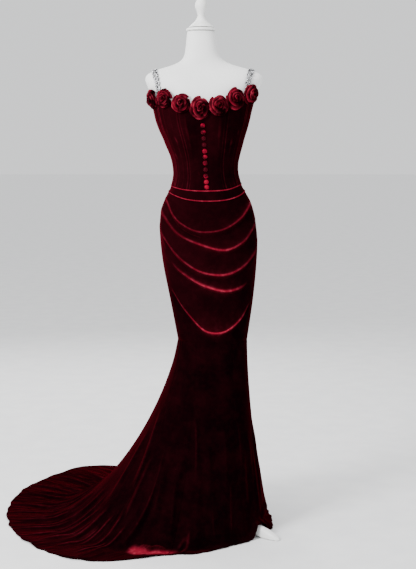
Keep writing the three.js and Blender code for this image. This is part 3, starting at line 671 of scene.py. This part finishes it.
# Trumpet and train: eight velvet gores from the knee seam to the hem, swept to the
# viewer's left, where they lie on the floor in many fine uneven folds.
GORES = {
    "gore_front": (-24, 32),
    "gore_front_right": (32, 87),
    "gore_side_right": (87, 138),
    "gore_back_right": (138, 180),
    "gore_back_left": (-180, -139),
    "gore_train_left": (-139, -100),
    "gore_side_left": (-100, -62),
    "gore_front_left": (-62, -24),
}
TRAIN_TURN = -112
TO_EYE_TURN = -68
WAVE = 0.0012
HEM_LIFT = 0.001
SKIRT_FOLDS = (
    (-21.5, 0.22, -14.5, 0.46, 0.004, 0.008, 0.0045), (-21.5, 0.670, -15.5, 0.600, 0.004, 0.008, 0.0060),
    (-15.4, 0.580, -17.0, 0.715, 0.003, 0.007, 0.0060), (-6.0, 0.28, -4.0, 0.60, 0.010, 0.011, 0.0055),
    (4.0, 0.40, 6.0, 0.66, -0.008, 0.010, 0.0050), (13.0, 0.24, 14.5, 0.58, 0.008, 0.012, 0.0045),
    (23.0, 0.42, 22.0, 0.63, -0.006, 0.009, 0.0050), (36.0, 0.22, 38.0, 0.50, 0.006, 0.010, 0.0040),
    (47.0, 0.34, 46.0, 0.56, -0.006, 0.009, 0.0045), (57.0, 0.28, 58.0, 0.50, 0.004, 0.011, 0.0035),
    (68.0, 0.36, 67.0, 0.60, -0.005, 0.009, 0.0055), (77.0, 0.24, 78.0, 0.57, 0.008, 0.010, 0.0050),
    (66.0, 0.566, 101.0, 0.545, -0.012, 0.013, 0.0080), (74.0, 0.604, 99.0, 0.584, -0.010, 0.011, -0.0060),
    (92.0, 0.26, 91.0, 0.54, 0.006, 0.010, 0.0045), (101.0, 0.36, 99.0, 0.63, -0.006, 0.010, 0.0060),
    (110.0, 0.30, 109.0, 0.66, 0.010, 0.012, 0.0070), (119.0, 0.26, 120.0, 0.62, -0.008, 0.011, 0.0060),
    (127.0, 0.38, 128.0, 0.70, 0.006, 0.010, 0.0070), (134.0, 0.32, 135.0, 0.68, -0.008, 0.010, 0.0060),
    (142.0, 0.40, 143.5, 0.72, 0.008, 0.010, 0.0070), (149.0, 0.48, 150.5, 0.76, -0.006, 0.009, 0.0080),
    (156.0, 0.42, 158.0, 0.74, 0.010, 0.012, 0.0070), (163.0, 0.54, 165.0, 0.86, -0.008, 0.010, 0.0080),
    (170.0, 0.46, 172.0, 0.80, 0.010, 0.011, 0.0070), (176.5, 0.58, 177.0, 0.90, -0.005, 0.009, 0.0060),
    (-176.0, 0.50, -177.0, 0.82, 0.008, 0.010, 0.0070), (-171.0, 0.64, -173.0, 0.96, -0.008, 0.010, 0.0080),
    (-165.5, 0.56, -167.0, 0.94, 0.010, 0.011, 0.0070), (-160.0, 0.70, -162.0, 1.02, -0.008, 0.009, 0.0080),
    (-155.0, 0.52, -156.5, 0.98, 0.012, 0.012, 0.0080), (-149.5, 0.72, -151.0, 1.08, -0.010, 0.010, 0.0070),
    (-144.0, 0.60, -145.0, 1.04, 0.010, 0.010, 0.0080), (-136.5, 0.76, -138.0, 1.10, -0.010, 0.010, 0.0070),
    (-131.5, 0.64, -133.0, 1.02, 0.012, 0.011, 0.0080), (-127.0, 0.80, -128.0, 1.09, -0.008, 0.008, 0.0070),
    (-122.5, 0.58, -124.0, 1.00, 0.014, 0.011, 0.0075), (-118.5, 0.76, -119.0, 1.06, -0.008, 0.008, 0.0065),
    (-113.5, 0.54, -115.0, 0.94, 0.012, 0.011, 0.0070), (-109.5, 0.70, -110.5, 1.00, -0.010, 0.008, 0.0070),
    (-105.5, 0.56, -106.0, 0.92, 0.010, 0.009, 0.0070), (-102.0, 0.72, -102.5, 0.97, -0.006, 0.007, 0.0060),
    (-97.0, 0.58, -98.5, 0.90, 0.010, 0.009, 0.0075), (-93.5, 0.66, -94.5, 0.93, -0.008, 0.007, 0.0065),
    (-90.0, 0.54, -90.5, 0.86, 0.012, 0.009, 0.0070), (-86.5, 0.68, -87.5, 0.92, -0.006, 0.007, 0.0065),
    (-83.5, 0.56, -83.5, 0.84, 0.010, 0.008, 0.0070), (-80.5, 0.30, -76.0, 0.60, -0.010, 0.011, 0.0055),
    (-80.0, 0.66, -80.5, 0.90, 0.006, 0.006, 0.0065), (-77.0, 0.60, -77.0, 0.83, -0.008, 0.007, 0.0070),
    (-73.5, 0.22, -63.5, 0.54, 0.012, 0.010, 0.0080), (-74.0, 0.64, -74.0, 0.86, 0.006, 0.006, 0.0065),
    (-71.0, 0.57, -70.0, 0.80, -0.008, 0.007, 0.0070), (-68.0, 0.64, -67.0, 0.84, 0.006, 0.006, 0.0065),
    (-65.0, 0.58, -64.0, 0.78, -0.006, 0.006, 0.0060), (-60.5, 0.56, -59.5, 0.80, 0.008, 0.007, 0.0075),
    (-57.0, 0.34, -55.0, 0.66, -0.010, 0.009, 0.0060), (-56.5, 0.68, -56.0, 0.82, 0.004, 0.005, 0.0060),
    (-53.0, 0.60, -52.0, 0.78, -0.006, 0.006, 0.0065), (-49.5, 0.32, -50.5, 0.74, 0.014, 0.010, 0.0110),
    (-45.0, 0.44, -46.0, 0.70, 0.006, 0.007, -0.0040), (-39.5, 0.34, -39.5, 0.60, -0.012, 0.012, 0.0080),
    (-43.0, 0.672, -25.0, 0.660, 0.003, 0.007, 0.0130), (-34.5, 0.40, -33.5, 0.61, 0.008, 0.010, 0.0050),
    (-29.0, 0.34, -27.0, 0.64, -0.008, 0.009, 0.0060),
)
# Painted highlight patches along the hem: direction and run where each starts, the same where it ends, its
# bow, half width and strength.
HEM_SHINE = (
    (-46.0, 0.706, -17.0, 0.664, -0.006, 0.0160, 0.62), (-46.5, 0.678, -33.0, 0.684, -0.006, 0.0150, 0.50),
    (-21.0, 0.662, -15.5, 0.606, 0.004, 0.0070, 0.12), (-15.6, 0.590, -16.8, 0.705, 0.004, 0.0060, 0.14),
    (82.0, 0.570, 90.0, 0.640, 0.012, 0.0090, 0.16),
    (-118.0, 0.950, -92.0, 0.900, 0.010, 0.0300, 0.08), (-80.0, 0.800, -62.0, 0.730, 0.010, 0.0300, 0.09),
)


def flared(at, run):
    """Folds of the skirt. A painted highlight is strongest where the train lies toward the eye, and the
    hem creeps in and out in small uneven waves."""
    off_train = np.abs((at["degrees"] - TRAIN_TURN + 180) % 360 - 180)
    lying = smooth_step(0.46, 0.82, run) * (1 - smooth_step(38, 92, off_train))
    at["lying"] = lying
    # painted light and highlight: the lying train is coloured lighter toward the eye, the back gets more
    # painted highlight, and the hem patches get a painted glow
    to_eye = np.exp(-((at["degrees"] - TO_EYE_TURN) / 34) ** 2) * smooth_step(0.62, 0.96, at["down"])
    at["lit"] = 0.26 + lying * (0.75 * to_eye - 0.14)
    at["sharp"] = 300
    behind = smooth_step(70, 120, at["degrees"]) + smooth_step(125, 160, -at["degrees"])
    at["shine"] = 0.10 + lying * (0.02 + 0.12 * to_eye) + 0.14 * behind
    at["glow"] = 0.75 * smooth_step(0.04, 0.6, folds(at, run, HEM_SHINE))
    turn = np.radians(at["degrees"])
    waves = np.sin(31 * turn) + 0.8 * np.sin(47 * turn + 1.1) + 0.6 * np.sin(71 * turn + 2.3)
    near_hem = smooth_step(0.90, 1.0, at["down"])
    at["creep"] = near_hem * (WAVE * waves - HEM_LIFT) * (1 + 0.6 * lying)
    return seam_dip(at, 0.004, 0.0005) + folds(at, run, SKIRT_FOLDS)


for node, turns in GORES.items():
    fine_cloth(node, VELVET_WALL, turns, (6, 16), flared)

# Roses: seven strips of velvet on the bias, folded double and rolled up from a tight bud
# into loose petals, sewn side by side along the neckline.
def seat_of(node):
    """Where a sewn-on solid sits, and the frame that turns its own axes onto the gown."""
    bm = welded(node)
    ends = [v.co.copy() for v in bm.verts if len(v.link_edges) >= RING_SIDES]
    bm.free()
    middle = Vector((AXIS_X, AXIS_Y, 0))
    foot, tip = sorted(ends, key=lambda p: (p.xy - middle.xy).length)
    axis = (tip - foot).normalized()
    side = Vector((0, 0, 1)).cross(axis).normalized()
    rise = axis.cross(side)
    return Matrix.LocRotScale(foot, Matrix((side, rise, axis)).transposed(), None)


CURL_STARTS = 0.72
LIGHT_FROM = 2.7


def petal(bm, painted_highlight, turn, span, inner, outer, low, high, twist, ripple):
    """One petal: a small sheet bent into a cup round the rose, its rim rolled outward, with a painted
    highlight along the rim on the side toward the light.
    """
    grid = bmesh.ops.create_grid(bm, x_segments=9, y_segments=6, size=1)
    for v in grid["verts"]:
        a = v.co.x
        b = (v.co.y + 1) / 2
        curl = max(0, (b - CURL_STARTS) / (1 - CURL_STARTS))
        radius = inner + (outer - inner) * b ** 1.5 - 0.05 * a * twist
        radius += 0.07 * curl - 0.05 * a * a * b
        height = low + (high - low) * math.sin(b * math.pi / 2) ** 0.85
        height -= 0.11 * curl * curl + 0.16 * abs(a) ** 3 * b
        wave = math.sin(2.6 * a + ripple) + 0.6 * math.sin(5.3 * a + 2 * ripple)
        height += 0.028 * b * wave
        radius += 0.03 * b * math.sin(3.7 * a + 1.7 * ripple)
        angle = turn + a * span / 2
        glint = 0.5 + 0.5 * math.cos(angle - LIGHT_FROM - 0.6 * math.sin(ripple))
        near_rim = max(0, (b - 0.42) / 0.58) ** 2.9
        v[painted_highlight] = near_rim * (0.06 + 0.54 * glint + 0.24 * wave)
        v.co = (radius * math.cos(angle), radius * math.sin(angle), height)


RINGS = ((5, 0.34, 0.99, 0.02, 0.34, 100), (4, 0.28, 0.78, 0.08, 0.54, 116),
         (3, 0.18, 0.54, 0.14, 0.70, 142), (3, 0.10, 0.30, 0.2, 0.80, 150), (2, 0.03, 0.13, 0.3, 0.84, 190))
STRIP = 0.04
ROSE_WALL = 0.0009
# a low even share of painted light for the roses
ROSE_PAINTED_LIGHT = 0.08
BASE_RADIUS = 0.55
BASE_HEIGHT = 0.12
ROSES = {"rose_1": (0.0295, 1.02, "side_left"), "rose_2": (0.028, 1.02, "side_front_left"),
         "rose_3": (0.03, 0.98, "centre_front"), "rose_4": (0.0305, 1.12, "centre_front"),
         "rose_5": (0.03, 1.06, "centre_front"), "rose_6": (0.0295, 1.16, "side_front_right"),
         "rose_7": (0.03, 1.06, "side_front_right")}
for number, (node, (size, tall, panel)) in enumerate(ROSES.items()):
    bm = bmesh.new()
    # painted highlight on the petal rims and painted light for the whole rose, kept for each point
    painted_highlight = bm.verts.layers.float.new("painted_highlight")
    painted_left_light = bm.verts.layers.float.new("painted_left_light")
    for ring, (count, inner, outer, low, high, span) in enumerate(RINGS):
        for k in range(count):
            odd = math.sin(12.9 * (number + 1) + 7.3 * k + 3.1 * ring)
            turn = 2 * math.pi * (k + 0.28 * odd) / count + 0.9 * ring + 0.7 * number
            petal(bm, painted_highlight, turn, math.radians(span * (1 + 0.12 * odd)), inner,
                  outer * (1 + 0.05 * odd), low, high * (1 - 0.1 * odd), 1 + odd, 6 * odd + k)
    bmesh.ops.create_circle(bm, cap_ends=True, segments=12, radius=BASE_RADIUS,
                            matrix=Matrix.Translation((0, 0, BASE_HEIGHT)))
    for v in bm.verts:
        v[painted_left_light] = ROSE_PAINTED_LIGHT
    scale = Matrix.Diagonal((size, size * tall, size, 1))
    bm.transform(seat_of(node) @ scale)
    bmesh.ops.recalc_face_normals(bm, faces=bm.faces)
    strip_length = round(sum(face.calc_area() for face in bm.faces) / STRIP, 3)
    rose = add_piece(f"{node}_velvet", bm, velvet, "velvet", node)
    thick = rose.modifiers.new("thickness", "SOLIDIFY")
    thick.thickness = ROSE_WALL
    thick.offset = 0
    soften(rose, 1)

# Buttons: eleven domed moulds covered in red satin, sewn down the centre front. The satin
# is gathered tight under the rim.
satin = Finish("button_satin", Roughness=0.25, Specular_IOR_Level=0.1, Anisotropic=0.4,
               Specular_Tint=linear(255, 110, 122))
thread = satin.noise(1800.0, 2.0)
# painted light and shade: the buttons come out brighter or darker at random, as lit and shaded copies of
# the satin
painted_button_light = satin.noise(43.0, 2.0).between(0.40, 0.56)
satin.feed("Base Color", satin.mix(painted_button_light, linear(48, 3, 12), linear(126, 12, 36)))
satin.feed("Roughness", thread * 0.2 + 0.2)
satin.feed("Normal", satin.bump(thread, 0.0003, 0.4))
BUTTON_PROFILE = ((0.0, 0.0064), (0.0022, 0.0062), (0.0042, 0.0054), (0.0060, 0.0040),
                  (0.0072, 0.0026), (0.0078, 0.0016), (0.0074, 0.0007), (0.0060, 0.0001))
BUTTONS = 11
for number in range(1, BUTTONS + 1):
    bm = bmesh.new()
    line = [bm.verts.new((radius, 0, height)) for radius, height in BUTTON_PROFILE]
    edges = [bm.edges.new(pair) for pair in zip(line, line[1:])]
    bmesh.ops.spin(bm, geom=line + edges, angle=2 * math.pi, steps=24, axis=(0, 0, 1),
                   cent=(0, 0, 0), use_merge=True)
    bmesh.ops.remove_doubles(bm, verts=bm.verts, dist=1e-6)
    bmesh.ops.holes_fill(bm, edges=[e for e in bm.edges if e.is_boundary])
    bmesh.ops.recalc_face_normals(bm, faces=bm.faces)
    bm.transform(seat_of(f"button_{number}"))
    button = add_piece(f"button_{number}_satin", bm, satin, "satin", f"button_{number}")
    soften(button, 1)

# Straps: leaf-shaped and round cut stones in silver settings, linked in a zigzag chain
# that runs from the roses over each shoulder to the back edge.
silver = Finish("strap_silver", Metallic=1.0, Roughness=0.22)
tarnish = silver.noise(300.0, 4.0).between(0.4, 0.75)
silver.feed("Base Color", silver.mix(tarnish, linear(96, 98, 104), linear(24, 25, 28)))
silver.feed("Roughness", tarnish * 0.25 + 0.14)
silver.feed("Normal", silver.bump(silver.noise(900.0, 2.0), 0.0002, 0.4))
stone = Finish("cut_stone", Roughness=0.03, IOR=1.62, Transmission_Weight=0.1, Coat_Weight=0.15)
# painted reflections: the clear stone is coloured near black or near white in small random specks
painted_sparkle = stone.noise(270.0, 1.0).between(0.51, 0.55)
stone.feed("Base Color", stone.mix(painted_sparkle, linear(22, 22, 26), linear(250, 251, 255)))


def cut_stone(bm, matrix, length, width, height, sides):
    """A faceted stone: a flat table, a sloping crown and a pointed back."""
    crown = bmesh.ops.create_cone(bm, cap_ends=True, segments=sides, radius1=1, radius2=0.52,
                                  depth=0.5, matrix=Matrix.Translation((0, 0, 0.75)))
    back = bmesh.ops.create_cone(bm, cap_ends=False, segments=sides, radius1=0.08, radius2=1,
                                 depth=0.5, matrix=Matrix.Translation((0, 0, 0.25)))
    shape = matrix @ Matrix.Diagonal((length / 2, width / 2, height, 1))
    bmesh.ops.transform(bm, matrix=shape, verts=crown["verts"] + back["verts"])


def setting(bm, matrix, length, width, height, sides):
    """A silver cup under a stone, a little wider than the stone."""
    cup = bmesh.ops.create_cone(bm, cap_ends=True, segments=sides, radius1=0.7, radius2=1,
                                depth=1, matrix=Matrix.Translation((0, 0, 0.5)))
    shape = matrix @ Matrix.Diagonal((length / 2, width / 2, height, 1))
    bmesh.ops.transform(bm, matrix=shape, verts=cup["verts"])


STRAP_WALL = 0.002
PITCH = 0.0152
FIRST_STONE = 0.004
SUNK = 0.0019
SHOULDER_HEIGHT = 1.40
LEAF_ASIDE = 0.0048
LEAF_TURN = 0.62
LEAF_CUP = (0.0146, 0.0082, 0.0021, 10)
LEAF_STONE = (0.0130, 0.0068, 0.0026, 10)
LEAF_LIFT = Matrix.Translation((0, 0, 0.0014))
BEAD_ASIDE = 0.0050
BEAD_CUP = (0.0066, 0.0066, 0.0019, 8)
BEAD_STONE = (0.0056, 0.0056, 0.0023, 8)
BEAD_LIFT = Matrix.Translation((0, 0, 0.0012))
for side in ("left", "right"):
    node = f"strap_{side}"
    bm, grid = outer_grid(node, STRAP_WALL)
    rows = max(row for row, _ in grid.values())
    path = {place: v.co.copy() for v, place in grid.items()}
    rails = [[path[row, column] for row in range(rows + 1)] for column in range(3)]
    bm.free()
    stones = bmesh.new()
    settings = bmesh.new()
    walked = 0.0
    due = FIRST_STONE
    count = 0
    for row in range(rows):
        here, there = rails[1][row], rails[1][row + 1]
        step = (there - here).length
        while due < walked + step:
            share = (due - walked) / step
            middle = here.lerp(there, share)
            forward = (there - here).normalized()
            sideways = (rails[2][row] - rails[0][row]).normalized()
            out = sideways.cross(forward).normalized()
            if out.dot(middle - Vector((AXIS_X, AXIS_Y, SHOULDER_HEIGHT))) < 0:
                out.negate()
            sideways = out.cross(forward)
            facing_out = Matrix((forward, sideways, out)).transposed()
            base = Matrix.LocRotScale(middle - out * SUNK, facing_out, None)
            zig = 1 if count % 2 else -1
            leaf = base @ Matrix.Translation((0, LEAF_ASIDE * zig, 0))
            leaf = leaf @ Matrix.Rotation(zig * LEAF_TURN, 4, "Z")
            bead = base @ Matrix.Translation((PITCH / 4, -BEAD_ASIDE * zig, 0))
            setting(settings, leaf, *LEAF_CUP)
            cut_stone(stones, leaf @ LEAF_LIFT, *LEAF_STONE)
            setting(settings, bead, *BEAD_CUP)
            cut_stone(stones, bead @ BEAD_LIFT, *BEAD_STONE)
            due += PITCH / 2
            count += 1
        walked += step
    metal = add_piece(f"settings_{side}", settings, silver, "silver", node)
    metal.data.shade_flat()
    gems = add_piece(f"stones_{side}", stones, stone, "silver", node)
    gems.data.shade_flat()
